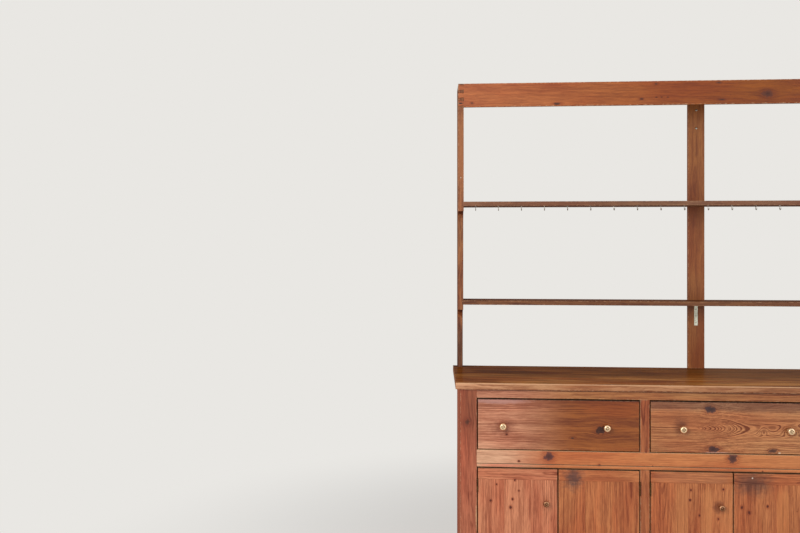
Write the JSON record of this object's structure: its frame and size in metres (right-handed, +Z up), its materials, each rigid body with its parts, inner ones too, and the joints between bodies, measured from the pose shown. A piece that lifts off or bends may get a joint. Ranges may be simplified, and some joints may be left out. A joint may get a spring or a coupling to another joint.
{
  "type": "fitted kitchen dresser",
  "caption": "Long pine kitchen dresser for a converted oast house: drawers over paired plank doors, a thick worktop, and an open shelf frame with a deep fascia.",
  "frame": {"origin": "on the floor, at the centre of the overall box", "axes": "+X runs to the right along the front, +Y runs back to the wall, +Z is up"},
  "size_m": [2.302, 0.636, 2.23],
  "materials": {
    "worktop_pine": "glossy varnish",
    "carcass_pine": "bare",
    "frame_pine": "satin varnish",
    "drawer_pine": "satin varnish",
    "door_pine": "satin varnish",
    "fascia_pine": "satin varnish",
    "shelf_pine": "satin varnish",
    "dark_pine": "satin varnish",
    "bright_brass": "polished",
    "dull_brass": "aged",
    "hinge_brass": "aged",
    "hook_steel": "plated"
  },
  "bodies": {
    "cabinet": {"worktop": "worktop_pine", "left_side_panel": "carcass_pine", "right_side_panel": "carcass_pine", "left_partition": "carcass_pine", "right_partition": "carcass_pine", "back_panel": "carcass_pine", "cupboard_floor": "carcass_pine", "drawer_runners": "carcass_pine", "left_end_stile": "frame_pine", "right_end_stile": "frame_pine", "top_rail": "frame_pine", "middle_rail": "frame_pine", "bottom_rail": "frame_pine", "left_drawer_muntin": "frame_pine", "right_drawer_muntin": "frame_pine", "left_door_muntin": "frame_pine", "right_door_muntin": "frame_pine", "frame_hinges": "hinge_brass", "left_end_board": "shelf_pine", "right_end_board": "shelf_pine", "middle_post": "dark_pine", "fascia": "fascia_pine", "top_board": "shelf_pine", "upper_shelf": "dark_pine", "lower_shelf": "dark_pine", "cup_hooks": "hook_steel"},
    "drawer_1": {"drawer_1_front": "drawer_pine", "drawer_1_box": "carcass_pine", "drawer_1_knobs": "bright_brass"},
    "drawer_2": {"drawer_2_front": "drawer_pine", "drawer_2_box": "carcass_pine", "drawer_2_knobs": "bright_brass"},
    "drawer_3": {"drawer_3_front": "drawer_pine", "drawer_3_box": "carcass_pine", "drawer_3_knobs": "bright_brass"},
    "door_1": {"door_1_leaf": "door_pine", "door_1_hinges": "hinge_brass", "door_1_knob": "dull_brass"},
    "door_2": {"door_2_leaf": "door_pine", "door_2_hinges": "hinge_brass"},
    "door_3": {"door_3_leaf": "door_pine", "door_3_hinges": "hinge_brass", "door_3_knob": "dull_brass"},
    "door_4": {"door_4_leaf": "door_pine", "door_4_hinges": "hinge_brass"},
    "door_5": {"door_5_leaf": "door_pine", "door_5_hinges": "hinge_brass", "door_5_knob": "dull_brass"},
    "door_6": {"door_6_leaf": "door_pine", "door_6_hinges": "hinge_brass"}
  },
  "joints": [
    {"name": "drawer_1_slide", "type": "slide", "parent": "cabinet", "child": "drawer_1", "axis": [0, -1, 0], "range_m": [0, 0.42]},
    {"name": "drawer_2_slide", "type": "slide", "parent": "cabinet", "child": "drawer_2", "axis": [0, -1, 0], "range_m": [0, 0.42]},
    {"name": "drawer_3_slide", "type": "slide", "parent": "cabinet", "child": "drawer_3", "axis": [0, -1, 0], "range_m": [0, 0.42]},
    {"name": "door_1_hinge", "type": "hinge", "parent": "cabinet", "child": "door_1", "pos_m": [-1.0585, -0.293, 0.3175], "axis": [0, 0, -1], "range_deg": [0, 90]},
    {"name": "door_2_hinge", "type": "hinge", "parent": "cabinet", "child": "door_2", "pos_m": [-0.3815, -0.293, 0.3175], "axis": [0, 0, 1], "range_deg": [0, 90]},
    {"name": "door_3_hinge", "type": "hinge", "parent": "cabinet", "child": "door_3", "pos_m": [-0.3385, -0.293, 0.3175], "axis": [0, 0, -1], "range_deg": [0, 90]},
    {"name": "door_4_hinge", "type": "hinge", "parent": "cabinet", "child": "door_4", "pos_m": [0.3385, -0.293, 0.3175], "axis": [0, 0, 1], "range_deg": [0, 90]},
    {"name": "door_5_hinge", "type": "hinge", "parent": "cabinet", "child": "door_5", "pos_m": [0.3815, -0.293, 0.3175], "axis": [0, 0, -1], "range_deg": [0, 90]},
    {"name": "door_6_hinge", "type": "hinge", "parent": "cabinet", "child": "door_6", "pos_m": [1.0585, -0.293, 0.3175], "axis": [0, 0, 1], "range_deg": [0, 90]}
  ]
}
